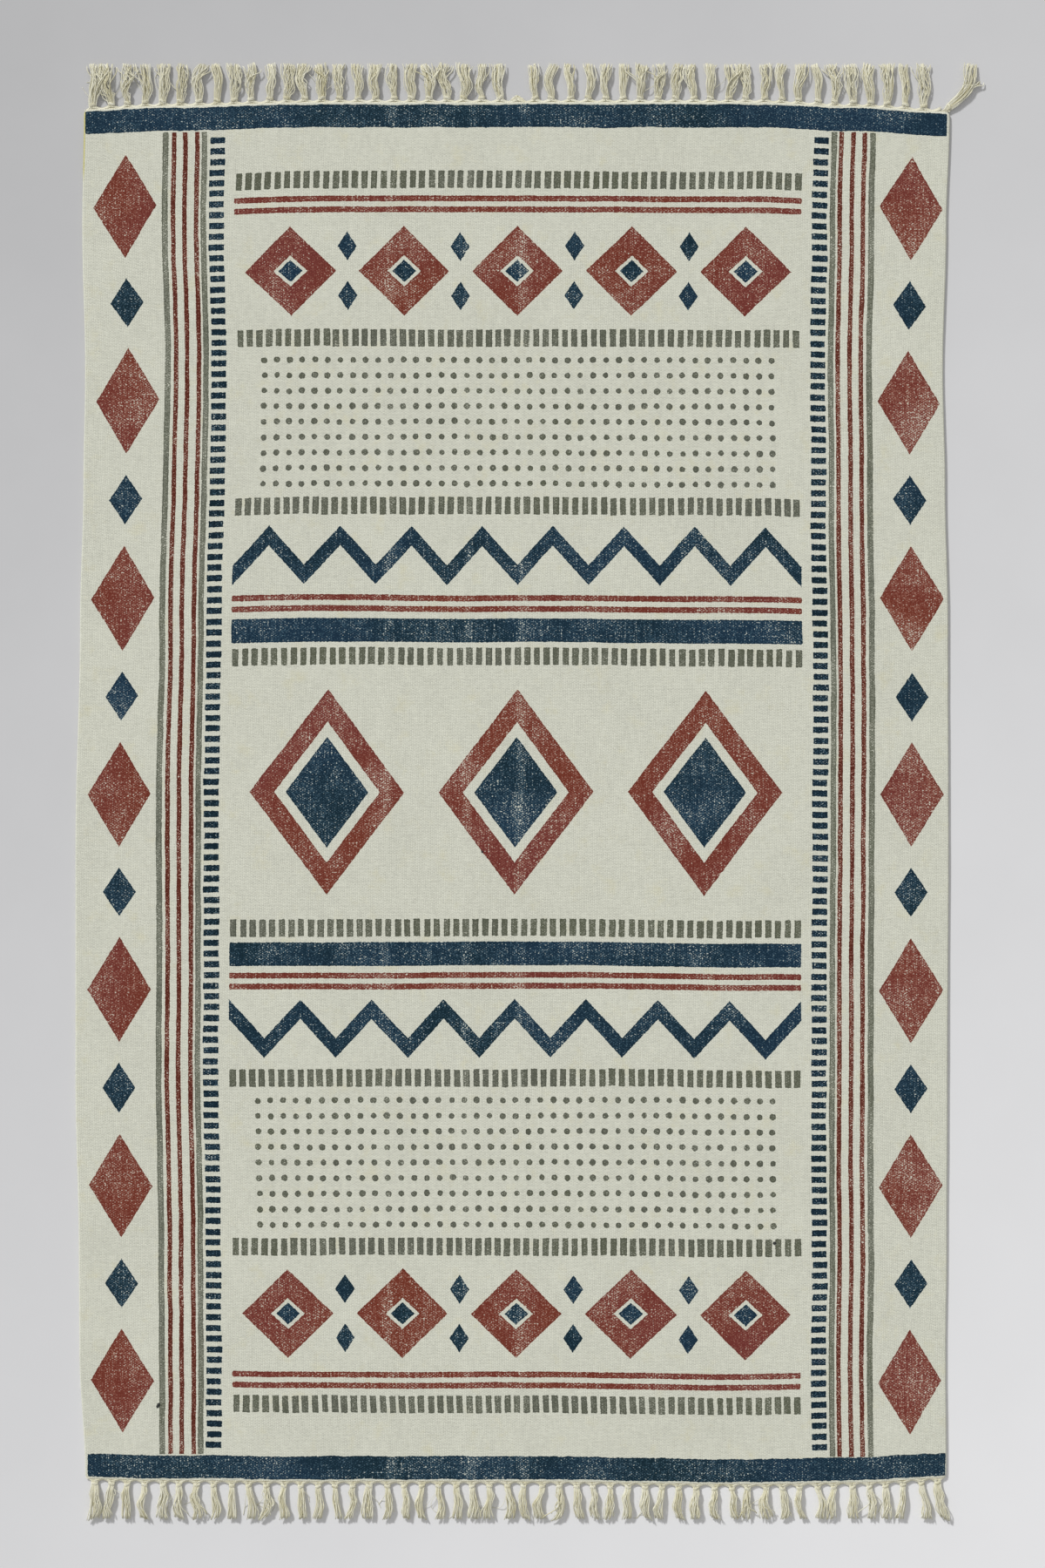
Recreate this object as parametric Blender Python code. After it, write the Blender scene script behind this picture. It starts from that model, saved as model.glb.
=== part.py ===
"""A flat-woven cotton dhurrie rug, lying open on the floor: one printed cloth and a knotted fringe at each end.

Metres, +Z up. The origin is on the underside at the middle of the cloth, +Y runs along the warp to the far end,
and +X runs across to the right-hand selvedge.
"""

import math

import bpy

# The cloth, before its own unevenness.
CLOTH_WIDTH = 1.524
CLOTH_LENGTH = 2.416
CLOTH_THICKNESS = 0.004
CORNER_RADIUS = 0.008
EDGE_STEP = 0.030

# The fringe: the warp ends past the cloth, knotted in bunches.
GAP = 0.0003
KNOT_ROW_DEPTH = 0.006
FRINGE_THICKNESS = 0.005
NECK_SPREAD = 0.001
BUNCH_SHIFT = 0.0018
BUNCH_LEAN = 0.0045
MEETING_LEAN = 0.0052

# How far each selvedge is drawn in from the straight at places along the rug (along and the rest in metres).
SIDE_EDGES = (
    {"along": -1.20, "left": 0.012, "right": 0.002},
    {"along": -0.98, "left": 0.002, "right": 0.003},
    {"along": -0.80, "left": 0.001, "right": 0.001},
    {"along": -0.50, "left": -0.005, "right": 0.000},
    {"along": -0.10, "left": -0.005, "right": -0.002},
    {"along": 0.30, "left": 0.003, "right": -0.001},
    {"along": 0.55, "left": 0.009, "right": 0.004},
    {"along": 0.75, "left": 0.012, "right": 0.008},
    {"along": 1.00, "left": 0.007, "right": 0.002},
    {"along": 1.20, "left": 0.010, "right": -0.004},
)
# How far each end is drawn in at places across the rug.
END_EDGES = (
    {"across": -0.76, "near": 0.005, "far": 0.013},
    {"across": -0.60, "near": 0.002, "far": 0.006},
    {"across": -0.35, "near": 0.000, "far": 0.000},
    {"across": 0.00, "near": 0.000, "far": 0.000},
    {"across": 0.42, "near": -0.005, "far": 0.000},
    {"across": 0.60, "near": -0.002, "far": 0.007},
    {"across": 0.76, "near": 0.006, "far": 0.016},
)
# A bunch of the fringe, from its neck at the knot row, over its knot, to its cut tip.
KNOT_ROWS = 2
BUNCH_PROFILE = (
    {"reach": 0.12, "half_width": 0.0040},
    {"reach": 0.24, "half_width": 0.0060},
    {"reach": 0.36, "half_width": 0.0052},
    {"reach": 0.62, "half_width": 0.0068},
    {"reach": 1.00, "half_width": 0.0072},
)
# Each end's straight line that the tips are cut to, its number of bunches, those whose tips lean towards the
# next one's, those that flare with how far, and those that are pulled out down to the knot.
ENDS = {
    "near": {
        "sign": -1,
        "cut_line": -1.2735,
        "bunches": 50,
        "meeting": (9, 14, 22, 25, 29, 32, 42),
        "flaring": {0: -0.004, 49: 0.014},
        "pulled_out": (),
    },
    "far": {
        "sign": 1,
        "cut_line": 1.2755,
        "bunches": 49,
        "meeting": (2, 6, 11, 33, 40),
        "flaring": {0: 0.006, 48: 0.052},
        "pulled_out": (24,),
    },
}

CLOTH_COLOUR = (0.58, 0.58, 0.49, 1.0)
FRINGE_COLOUR = (0.60, 0.56, 0.42, 1.0)
COTTON_ROUGHNESS = 0.95


def clear_scene():
    for old in list(bpy.data.objects):
        bpy.data.objects.remove(old)


def cotton(name, colour):
    material = bpy.data.materials.new(name)
    material.use_nodes = True
    shader = material.node_tree.nodes["Principled BSDF"]
    shader.inputs["Base Color"].default_value = colour
    shader.inputs["Roughness"].default_value = COTTON_ROUGHNESS
    shader.inputs["Metallic"].default_value = 0.0
    return material


def eased(table, place, column, at):
    """The column's value at a place, running smoothly from row to row and level beyond the first and last."""
    if at <= table[0][place]:
        return table[0][column]
    for low, high in zip(table, table[1:]):
        if at <= high[place]:
            share = (at - low[place]) / (high[place] - low[place])
            share = (1 - math.cos(math.pi * share)) / 2
            return low[column] + (high[column] - low[column]) * share
    return table[-1][column]


def selvedge_x(side, along):
    inward = eased(SIDE_EDGES, "along", side, along)
    return (CLOTH_WIDTH / 2 - inward) * (1 if side == "right" else -1)


def end_y(end, across):
    inward = eased(END_EDGES, "across", end, across)
    return (CLOTH_LENGTH / 2 - inward) * ENDS[end]["sign"]


def corner(side, end):
    x = selvedge_x(side, CLOTH_LENGTH / 2 * ENDS[end]["sign"])
    return x, end_y(end, x)


def scatter(index, salt):
    """A repeatable number from -1 to 1 for each bunch and each use."""
    value = math.sin(index * 12.9898 + salt * 78.233) * 43758.5453
    return 2 * (value - math.floor(value)) - 1


def spaced(start, stop, step):
    count = max(2, round(abs(stop - start) / step))
    return [start + (stop - start) * k / count for k in range(count + 1)]


def rounded_corner(before, tip, after):
    """The points of a small rounded corner that starts at one edge and ends at the next."""
    points = []
    for share in (0.0, 0.25, 0.5, 0.75, 1.0):
        a, b, c = (1 - share) ** 2, 2 * share * (1 - share), share**2
        points.append(tuple(a * p + b * q + c * r for p, q, r in zip(before, tip, after)))
    return points


def cloth_outline():
    """The cloth's edge, once round from the near left corner."""
    near_left, near_right = corner("left", "near"), corner("right", "near")
    far_left, far_right = corner("left", "far"), corner("right", "far")
    r = CORNER_RADIUS
    near = [(x, end_y("near", x)) for x in spaced(near_left[0] + r, near_right[0] - r, EDGE_STEP)]
    right = [(selvedge_x("right", y), y) for y in spaced(near_right[1] + r, far_right[1] - r, EDGE_STEP)]
    far = [(x, end_y("far", x)) for x in spaced(far_right[0] - r, far_left[0] + r, EDGE_STEP)]
    left = [(selvedge_x("left", y), y) for y in spaced(far_left[1] - r, near_left[1] + r, EDGE_STEP)]
    outline = []
    for edge, tip, following in (
        (near, near_right, right),
        (right, far_right, far),
        (far, far_left, left),
        (left, near_left, near),
    ):
        outline += edge[1:-1] + rounded_corner(edge[-1], tip, following[0])
    return outline


def bunch_lean(end, index):
    """How far the tip of a bunch lies to the side of its knot."""
    facts = ENDS[end]
    if index in facts["flaring"]:
        return facts["flaring"][index]
    if index in facts["meeting"]:
        return MEETING_LEAN
    if index - 1 in facts["meeting"]:
        return -MEETING_LEAN
    return BUNCH_LEAN * scatter(index, 2 + facts["sign"])


def bunch_x(end, index):
    """Where a bunch's knot lies across the rug."""
    left, right = corner("left", end)[0], corner("right", end)[0]
    pitch = (right - left) / ENDS[end]["bunches"]
    return left + (index + 0.5) * pitch + BUNCH_SHIFT * scatter(index, 7 + ENDS[end]["sign"])


def bunch_sides(end, index):
    """The left and right side of one bunch, each from its neck to its tip, or to its knot if it is pulled out."""
    sign = ENDS[end]["sign"]
    knot_x = bunch_x(end, index)
    start_y = end_y(end, knot_x) + sign * GAP
    reach_y = ENDS[end]["cut_line"] - start_y
    rows = BUNCH_PROFILE[:KNOT_ROWS] if index in ENDS[end]["pulled_out"] else BUNCH_PROFILE
    sides = {-1: [], 1: []}
    for row in rows:
        middle = knot_x + bunch_lean(end, index) * row["reach"] ** 1.4
        for side in sides:
            sides[side].append((middle + side * row["half_width"], start_y + reach_y * row["reach"]))
    return sides[-1], sides[1]


def knot_row(end, x):
    """A point on the outer side of the row of knots."""
    return x, end_y(end, x) + ENDS[end]["sign"] * (GAP + KNOT_ROW_DEPTH)


def fringe_outline(end):
    """One comb: the row of knots along the end of the cloth, with the bunches as its teeth."""
    left, right = corner("left", end)[0] + CORNER_RADIUS, corner("right", end)[0] - CORNER_RADIUS
    outline = [(x, end_y(end, x) + ENDS[end]["sign"] * GAP) for x in spaced(right, left, EDGE_STEP)]
    outline.append(knot_row(end, left))
    for index in range(ENDS[end]["bunches"]):
        left_side, right_side = bunch_sides(end, index)
        outline.append(knot_row(end, left_side[0][0] - NECK_SPREAD))
        outline += left_side + right_side[::-1]
        outline.append(knot_row(end, right_side[0][0] + NECK_SPREAD))
    outline.append(knot_row(end, right))
    return outline


def flat_piece(name, outline, thickness, material, collection):
    """A flat outline of that thickness, lying on the floor."""
    curve = bpy.data.curves.new(name, "CURVE")
    curve.dimensions = "2D"
    curve.fill_mode = "BOTH"
    curve.extrude = thickness / 2
    spline = curve.splines.new("POLY")
    spline.points.add(len(outline) - 1)
    for point, (x, y) in zip(spline.points, outline):
        point.co = (x, y, 0.0, 1.0)
    spline.use_cyclic_u = True
    curve.materials.append(material)
    piece = bpy.data.objects.new(name, curve)
    piece.location.z = thickness / 2
    collection.objects.link(piece)
    return piece


def build_rug():
    clear_scene()
    collection = bpy.data.collections.new("dhurrie_rug")
    bpy.context.scene.collection.children.link(collection)
    cloth_cotton = cotton("cloth_cotton", CLOTH_COLOUR)
    fringe_cotton = cotton("fringe_cotton", FRINGE_COLOUR)
    flat_piece("rug_cloth", cloth_outline(), CLOTH_THICKNESS, cloth_cotton, collection)
    for end in ENDS:
        flat_piece(f"fringe_{end}", fringe_outline(end), FRINGE_THICKNESS, fringe_cotton, collection)


build_rug()
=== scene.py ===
"""A block-printed cotton dhurrie, lying open on a pale floor, with a knotted fringe at each end.

Metres, +Z up. +Y runs along the warp to the far end, and +X across to the right-hand selvedge. The cloth and
the fringes take the outlines of the solids that they stand for.
"""

import math
import random

import bpy
from bpy.props import FloatProperty, FloatVectorProperty, IntProperty, PointerProperty
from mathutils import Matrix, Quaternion, Vector, noise


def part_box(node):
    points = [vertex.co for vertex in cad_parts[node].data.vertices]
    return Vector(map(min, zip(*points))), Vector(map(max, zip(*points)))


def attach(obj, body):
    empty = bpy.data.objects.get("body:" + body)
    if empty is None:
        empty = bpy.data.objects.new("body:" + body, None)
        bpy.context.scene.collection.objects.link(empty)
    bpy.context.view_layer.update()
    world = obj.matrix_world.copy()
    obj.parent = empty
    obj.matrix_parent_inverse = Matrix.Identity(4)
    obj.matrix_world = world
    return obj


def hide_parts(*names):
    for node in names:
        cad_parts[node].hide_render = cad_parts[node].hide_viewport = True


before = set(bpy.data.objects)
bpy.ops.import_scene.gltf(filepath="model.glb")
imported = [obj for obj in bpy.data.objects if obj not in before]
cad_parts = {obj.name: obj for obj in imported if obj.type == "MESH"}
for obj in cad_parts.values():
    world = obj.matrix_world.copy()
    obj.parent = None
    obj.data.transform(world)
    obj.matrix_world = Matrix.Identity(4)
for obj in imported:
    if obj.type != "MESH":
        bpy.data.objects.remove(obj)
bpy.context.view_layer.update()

bl_info = {
    "name": "Dhurrie Rug",
    "version": (1, 0, 0),
    "blender": (4, 5, 0),
    "location": "3D View > Sidebar > Dhurrie",
    "description": "A block-printed cotton dhurrie with knotted fringes",
    "category": "Add Mesh",
}

# The cloth's outline, as the solid has it.
CLOTH_WIDTH = 1.524
CLOTH_LENGTH = 2.416
CLOTH_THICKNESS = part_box("rug_cloth")[1].z
CORNER_RADIUS = 0.008
# How far each selvedge is drawn in from the straight at places along the rug.
SIDE_EDGES = (
    {"along": -1.20, "left": 0.012, "right": 0.002},
    {"along": -0.98, "left": 0.002, "right": 0.003},
    {"along": -0.80, "left": 0.001, "right": 0.001},
    {"along": -0.50, "left": -0.005, "right": 0.000},
    {"along": -0.10, "left": -0.005, "right": -0.002},
    {"along": 0.30, "left": 0.003, "right": -0.001},
    {"along": 0.55, "left": 0.009, "right": 0.004},
    {"along": 0.75, "left": 0.012, "right": 0.008},
    {"along": 1.00, "left": 0.007, "right": 0.002},
    {"along": 1.20, "left": 0.010, "right": -0.004},
)
# How far each end is drawn in at places across the rug.
END_EDGES = (
    {"across": -0.76, "near": 0.005, "far": 0.013},
    {"across": -0.60, "near": 0.002, "far": 0.006},
    {"across": -0.35, "near": 0.000, "far": 0.000},
    {"across": 0.00, "near": 0.000, "far": 0.000},
    {"across": 0.42, "near": -0.005, "far": 0.000},
    {"across": 0.60, "near": -0.002, "far": 0.007},
    {"across": 0.76, "near": 0.006, "far": 0.016},
)

# The fringes. Each end's first six facts are as the solids have them: which way it faces, the straight line
# that its tips are cut to, how many bunches it has, those whose tips lean towards the next one's, those that
# flare with how far, and those that are pulled out down to the knot. The rest is seen only here: the bunches
# that are tangled with the next ones, parted in two, stouter, or drawn aside with how far, the seed of the
# random draws, the share of a tangled bunch's yarns that cross over, how frizzy the yarns are, how far their
# tips lift, how far the knots lie from the cloth, and how full the bunches are.
BUNCH_SHIFT = 0.0018
BUNCH_LEAN = 0.0045
MEETING_LEAN = 0.0052
ENDS = {
    "near": {
        "sign": -1,
        "cut_line": -1.2735,
        "bunches": 50,
        "meeting": (9, 14, 22, 25, 29, 32, 42),
        "flaring": {0: -0.004, 49: 0.014},
        "pulled_out": (),
        "tangled": (1, 4, 5, 6, 10, 16, 27, 38, 39, 45, 46),
        "parted": (),
        "stout": (0, 49),
        "drawn_aside": {1: -0.0120, 48: 0.0110},
        "seed": 11,
        "loose_share": 0.14,
        "frizz": 1.0,
        "tip_lift": 0.0030,
        "knot_reach": 0.0092,
        "fullness": 0.98,
    },
    "far": {
        "sign": 1,
        "cut_line": 1.2755,
        "bunches": 49,
        "meeting": (2, 6, 11, 33, 40),
        "flaring": {0: 0.006, 48: 0.052},
        "pulled_out": (24,),
        "tangled": (0, 1, 2, 3, 4, 5, 6, 9, 10, 13, 19, 31, 32, 36, 42, 43, 44, 47),
        "parted": (48,),
        "stout": (0,),
        "drawn_aside": {1: -0.0080},
        "seed": 23,
        "loose_share": 0.20,
        "frizz": 1.5,
        "tip_lift": 0.0010,
        "knot_reach": 0.0084,
        "fullness": 1.14,
    },
}

# The block print, in the cloth's own flat measure. It mirrors about a line a little off the cloth's middle.
PRINT_MIDDLE = 0.006
SIDE_STRIPES = (
    {"ink": "grey", "from_middle": 0.5545, "width": 0.0095},
    {"ink": "brick", "from_middle": 0.5670, "width": 0.0078},
    {"ink": "brick", "from_middle": 0.5880, "width": 0.0078},
    {"ink": "brick", "from_middle": 0.6078, "width": 0.0078},
    {"ink": "grey", "from_middle": 0.6225, "width": 0.0100},
)
# The ladders and the stripes stop short of the end bands.
LADDER = {"from_middle": 0.5315, "width": 0.0262, "rung": 0.0107, "pitch": 0.0188, "short_of_end": 0.060}
END_BAND = {"margin": 0.0035, "depth": 0.040, "side_margin": 0.0036, "gap": 0.001}
FIELD_HALF_WIDTH = 0.500
# What crosses the field at each distance from the middle of the rug, both ways.
FIELD_BARS = (
    {"ink": "navy", "middle": 0.2835, "depth": 0.0410},
    {"ink": "brick", "middle": 0.3210, "depth": 0.0098},
    {"ink": "brick", "middle": 0.3400, "depth": 0.0098},
    {"ink": "brick", "middle": 1.0200, "depth": 0.0098},
    {"ink": "brick", "middle": 1.0390, "depth": 0.0098},
)
DASH = {"width": 0.0109, "depth": 0.0300, "pitch": 0.0170}
DASH_ROWS = (0.238, 0.500, 0.796, 1.072)
ZIGZAG = {"middle": 0.4140, "rise": 0.0340, "stroke": 0.0230, "pitch": 0.1250}
DOT = {"radius": 0.0052, "across": 0.0225, "along": 0.0273, "middle": 0.6480, "columns": 20, "rows": 4}
# The medallions' brick ring is that wide, and their navy heart starts that far in.
MEDALLIONS = {"pitch": 0.330, "half_width": 0.135, "half_length": 0.180, "ring": 0.034, "heart": 0.050}
DIAMOND_ROW = {"middle": 0.913, "pitch": 0.201, "half_width": 0.080, "half_length": 0.078}
# The small diamonds at the hearts of a row's large ones are flatter, with a bare rim, and those between the
# large ones are smaller all round and lie that share of the way to their points.
SMALL_DIAMOND = {"half_width": 0.021, "half_length": 0.031, "rim": 0.006}
SMALL_DIAMOND_SHARES = {"heart_length": 0.62, "between": 0.8, "towards_points": 0.55}
SIDE_DIAMONDS = {"from_middle": 0.6925, "pitch": 0.345, "half_width": 0.0555, "half_length": 0.092}
SIDE_SMALL_DIAMOND = {"half_width": 0.029, "half_length": 0.043}
# How far the blocks stray: in broad swings each way, in fine ones, at the near left corner, and at the bands
# and along their edges. The far band also lies a little to the left, and the near one to the right.
STRAYS = {
    "broad_across": 0.009,
    "broad_along": 0.012,
    "fine": 0.0022,
    "near_left": 0.0085,
    "band": 0.0040,
    "band_edge": 0.0034,
    "band_aside": 0.0014,
}
STAINS = (
    {"across": -0.6262, "along": -1.0758, "half_width": 0.0032, "half_length": 0.0034},
    {"across": -0.6282, "along": -1.0790, "half_width": 0.0026, "half_length": 0.0030},
    {"across": 0.4590, "along": -0.7870, "half_width": 0.0032, "half_length": 0.0030},
    {"across": -0.0520, "along": -0.1050, "half_width": 0.0018, "half_length": 0.0024},
)
STAIN_COLOUR = (0.022, 0.025, 0.027, 1.0)
# The thread in the left selvedge: where it fades out, in from the edge and down from the corner.
YELLOW_THREAD = {"across": (0.0030, 0.0018), "along": (0.135, 0.100), "colour": (0.62, 0.56, 0.13, 1.0)}
# The strips, out from the middle line, where the inks were laid thicker or thinner than elsewhere: where
# each starts, is full, fades and stops. The ladders' strip also fades out before the ends.
STRIPED_STRIP = (0.535, 0.550, 0.630, 0.645)
LADDER_STRIP = (0.508, 0.514, 0.550, 0.556)
LADDER_STRIP_END = (1.158, 1.150)
# How far inside a shape's edge its dark rim begins, and where it is full.
INK_RIM = (-0.0022, -0.0006)
# Lines along which the rug was once folded, where the ink has worn thin.
WORN_FOLDS = (0.0140, -0.0800, -0.2200)


# ---------------------------------------------------------------- outlines shared with the solids


def eased(table, place, column, at):
    """The column's value at a place: smooth from row to row, and level beyond the first and last."""
    if at <= table[0][place]:
        return table[0][column]
    for low, high in zip(table, table[1:]):
        if at <= high[place]:
            share = (at - low[place]) / (high[place] - low[place])
            share = (1 - math.cos(math.pi * share)) / 2
            return low[column] + (high[column] - low[column]) * share
    return table[-1][column]


def selvedge_x(side, along):
    inward = eased(SIDE_EDGES, "along", side, along)
    return (CLOTH_WIDTH / 2 - inward) * (1 if side == "right" else -1)


def end_y(end, across):
    inward = eased(END_EDGES, "across", end, across)
    return (CLOTH_LENGTH / 2 - inward) * ENDS[end]["sign"]


def scatter(index, salt):
    """A repeatable number from -1 to 1 for each bunch and each use."""
    value = math.sin(index * 12.9898 + salt * 78.233) * 43758.5453
    return 2 * (value - math.floor(value)) - 1


def end_corners(end):
    """The left and right corner of the cloth at one end, across the rug."""
    at = CLOTH_LENGTH / 2 * ENDS[end]["sign"]
    return selvedge_x("left", at), selvedge_x("right", at)


def bunch_x(end, index):
    left, right = end_corners(end)
    pitch = (right - left) / ENDS[end]["bunches"]
    return left + (index + 0.5) * pitch + BUNCH_SHIFT * scatter(index, 7 + ENDS[end]["sign"])


def bunch_lean(end, index):
    """How far the tip of a bunch lies to the side of its knot."""
    facts = ENDS[end]
    if index in facts["flaring"]:
        return facts["flaring"][index]
    if index in facts["meeting"]:
        return MEETING_LEAN
    if index - 1 in facts["meeting"]:
        return -MEETING_LEAN
    return BUNCH_LEAN * scatter(index, 2 + facts["sign"])


def on_the_floor(across, along):
    """Where a spot of the squared cloth lies, now that its edges are drawn in unevenly."""
    left, right = selvedge_x("left", along), selvedge_x("right", along)
    x = left + (right - left) * (across / CLOTH_WIDTH + 0.5)
    near, far = end_y("near", x), end_y("far", x)
    return x, near + (far - near) * (along / CLOTH_LENGTH + 0.5)


# ---------------------------------------------------------------- settings a user would change


def colour_setting(name, description, default):
    return FloatVectorProperty(
        name=name,
        description=description,
        default=default,
        min=0.0,
        max=1.0,
        subtype="COLOR",
    )


class ClothSettings(bpy.types.PropertyGroup):
    grid: FloatProperty(
        name="Mesh Step",
        description="Distance between the cloth mesh's lines",
        default=0.010,
        min=0.006,
        unit="LENGTH",
    )
    waviness: FloatProperty(
        name="Waviness",
        description="How far the cloth ripples off the floor",
        default=0.0013,
        min=0.0,
        unit="LENGTH",
    )
    warp_pitch: FloatProperty(
        name="Warp Pitch",
        description="Distance between warp ends",
        default=0.00328,
        min=0.0005,
        precision=5,
        unit="LENGTH",
    )
    weft_pitch: FloatProperty(
        name="Weft Pitch",
        description="Distance between picks",
        default=0.00212,
        min=0.0005,
        precision=5,
        unit="LENGTH",
    )
    ivory: colour_setting(
        name="Ivory",
        description="Undyed cotton of the cloth",
        default=(0.800, 0.806, 0.686),
    )
    navy: colour_setting(
        name="Navy Ink",
        description="Ink of the end bands, ladders and bars, where it is thick",
        default=(0.0070, 0.0270, 0.0410),
    )
    other_navy: colour_setting(
        name="Bluer Navy Ink",
        description="The same ink where a batch of it was bluer",
        default=(0.0110, 0.0360, 0.0700),
    )
    thin_navy: colour_setting(
        name="Thin Navy Ink",
        description="The same ink where it is thin",
        default=(0.078, 0.152, 0.208),
    )
    brick: colour_setting(
        name="Brick Ink",
        description="Ink of the diamonds and thin stripes, where it is thick",
        default=(0.205, 0.041, 0.022),
    )
    other_brick: colour_setting(
        name="Cooler Brick Ink",
        description="The same ink where a batch of it was cooler",
        default=(0.200, 0.042, 0.035),
    )
    thin_brick: colour_setting(
        name="Thin Brick Ink",
        description="The same ink where it is thin",
        default=(0.450, 0.205, 0.150),
    )
    grey: colour_setting(
        name="Grey Ink",
        description="Ink of the dots, dashes and side stripes, where it is thick",
        default=(0.130, 0.138, 0.106),
    )
    other_grey: colour_setting(
        name="Greener Grey Ink",
        description="The same ink where a batch of it was greener",
        default=(0.125, 0.136, 0.088),
    )
    thin_grey: colour_setting(
        name="Thin Grey Ink",
        description="The same ink where it is thin",
        default=(0.320, 0.330, 0.262),
    )


class FringeSettings(bpy.types.PropertyGroup):
    yarn_radius: FloatProperty(
        name="Yarn Radius",
        description="Radius of one yarn of the fringe",
        default=0.00086,
        min=0.0003,
        precision=5,
        unit="LENGTH",
    )
    yarns: IntProperty(
        name="Yarns in a Bunch",
        description="How many warp ends are knotted together",
        default=19,
        min=4,
        max=20,
    )
    strays: IntProperty(
        name="Stray Yarns",
        description="How many fine loose yarns wander over each fringe",
        default=26,
        min=0,
    )
    cream: colour_setting(
        name="Cream",
        description="The lighter yarns",
        default=(0.93, 0.91, 0.76),
    )
    beige: colour_setting(
        name="Beige",
        description="The yellower yarns",
        default=(0.72, 0.67, 0.43),
    )


class StageSettings(bpy.types.PropertyGroup):
    floor: colour_setting(
        name="Floor",
        description="Plain pale floor",
        default=(0.735, 0.735, 0.745),
    )
    key: FloatProperty(
        name="Key Light",
        description="Strength of the soft light from the far left",
        default=2.40,
        min=0.0,
    )
    fill: FloatProperty(
        name="Fill Light",
        description="Strength of the even light all round",
        default=0.40,
        min=0.0,
    )
    camera_height: FloatProperty(
        name="Camera Height",
        description="Height of the camera over the floor",
        default=5.5,
        min=1.0,
        unit="LENGTH",
    )


# ---------------------------------------------------------------- formulas as shader nodes


class Value:
    """A number in a node tree. Arithmetic on it adds Math nodes, so that a formula reads as one line."""

    def __init__(self, tree, socket):
        self.tree = tree
        self.socket = socket

    def math(self, operation, *others):
        node = self.tree.nodes.new("ShaderNodeMath")
        node.operation = operation
        for socket, value in zip(node.inputs, (self, *others)):
            feed(self.tree, socket, value)
        return Value(self.tree, node.outputs[0])

    def __add__(self, other):
        return self.math("ADD", other)

    def __sub__(self, other):
        return self.math("SUBTRACT", other)

    def __rsub__(self, other):
        return (self * -1.0) + other

    def __mul__(self, other):
        return self.math("MULTIPLY", other)

    def __truediv__(self, other):
        return self.math("DIVIDE", other)

    def __abs__(self):
        return self.math("ABSOLUTE")

    __radd__ = __add__
    __rmul__ = __mul__


def feed(tree, socket, value):
    """Links a socket to a Value, or sets it to a plain number, vector or colour."""
    if isinstance(value, Value):
        tree.links.new(value.socket, socket)
    else:
        socket.default_value = value


def least(first, *others):
    for other in others:
        first = first.math("MINIMUM", other)
    return first


def most(first, *others):
    for other in others:
        first = first.math("MAXIMUM", other)
    return first


def eased_step(value, low, high):
    """0 below low, 1 above high, and smooth between them. It runs down where low is over high."""
    node = value.tree.nodes.new("ShaderNodeMapRange")
    node.interpolation_type = "SMOOTHSTEP"
    feed(value.tree, node.inputs["Value"], value)
    feed(value.tree, node.inputs["From Min"], low)
    feed(value.tree, node.inputs["From Max"], high)
    return Value(value.tree, node.outputs["Result"])


def in_strip(value, start, full, fades, stop):
    """1 from full to fades, 0 outside start and stop, and smooth between them."""
    return eased_step(value, start, full) * eased_step(value, stop, fades)


def xyz(tree, x=0.0, y=0.0, z=0.0):
    node = tree.nodes.new("ShaderNodeCombineXYZ")
    for socket, value in zip(node.inputs, (x, y, z)):
        feed(tree, socket, value)
    return Value(tree, node.outputs[0])


def split(vector):
    node = vector.tree.nodes.new("ShaderNodeSeparateXYZ")
    feed(vector.tree, node.inputs[0], vector)
    return [Value(vector.tree, socket) for socket in node.outputs]


def clouds(place, scale, detail=2.0, roughness=0.5):
    """Soft noise from 0 to 1, and the same noise in three channels."""
    node = place.tree.nodes.new("ShaderNodeTexNoise")
    node.inputs["Scale"].default_value = scale
    node.inputs["Detail"].default_value = detail
    node.inputs["Roughness"].default_value = roughness
    feed(place.tree, node.inputs["Vector"], place)
    return Value(place.tree, node.outputs[0]), Value(place.tree, node.outputs[1])


def dice(cell):
    """A random number from 0 to 1 for each whole cell, and three more in its channels."""
    node = cell.tree.nodes.new("ShaderNodeTexWhiteNoise")
    node.noise_dimensions = "3D"
    feed(cell.tree, node.inputs["Vector"], cell)
    return Value(cell.tree, node.outputs["Value"]), Value(cell.tree, node.outputs["Color"])


def blended(tree, share, first, second):
    """Two colours mixed by a share."""
    node = tree.nodes.new("ShaderNodeMix")
    node.data_type = "RGBA"
    feed(tree, node.inputs[0], share)
    feed(tree, node.inputs[6], first)
    feed(tree, node.inputs[7], second)
    return Value(tree, node.outputs[2])


def opaque(colour):
    return (*colour, 1.0)


def new_group(name, takes, gives):
    """An empty node group with named sockets. It returns the tree, its input Values and its output node."""
    tree = bpy.data.node_groups.new(name, "ShaderNodeTree")
    for label, (kind, default) in takes.items():
        socket = tree.interface.new_socket(label, in_out="INPUT", socket_type=kind)
        if default is not None:
            socket.default_value = default
    for label, kind in gives.items():
        tree.interface.new_socket(label, in_out="OUTPUT", socket_type=kind)
    entry = tree.nodes.new("NodeGroupInput")
    values = {label: Value(tree, entry.outputs[label]) for label in takes}
    return tree, values, tree.nodes.new("NodeGroupOutput")


def give_out(tree, out, **values):
    """Links Values to the group's outputs of those names."""
    for name, value in values.items():
        tree.links.new(value.socket, out.inputs[name])


def within(value):
    """The value, held between 0 and 1."""
    return least(most(value, 0.0), 1.0)


def placed_group(tree, group, **values):
    """A group placed in a tree, with its inputs set or linked. Underscores in a name stand for spaces."""
    node = tree.nodes.new("ShaderNodeGroup")
    node.node_tree = group
    for name, value in values.items():
        feed(tree, node.inputs[name.replace("_", " ")], value)
    return {socket.name: Value(tree, socket) for socket in node.outputs}


# ---------------------------------------------------------------- the effects: weave, print, ink, yarn


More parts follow.
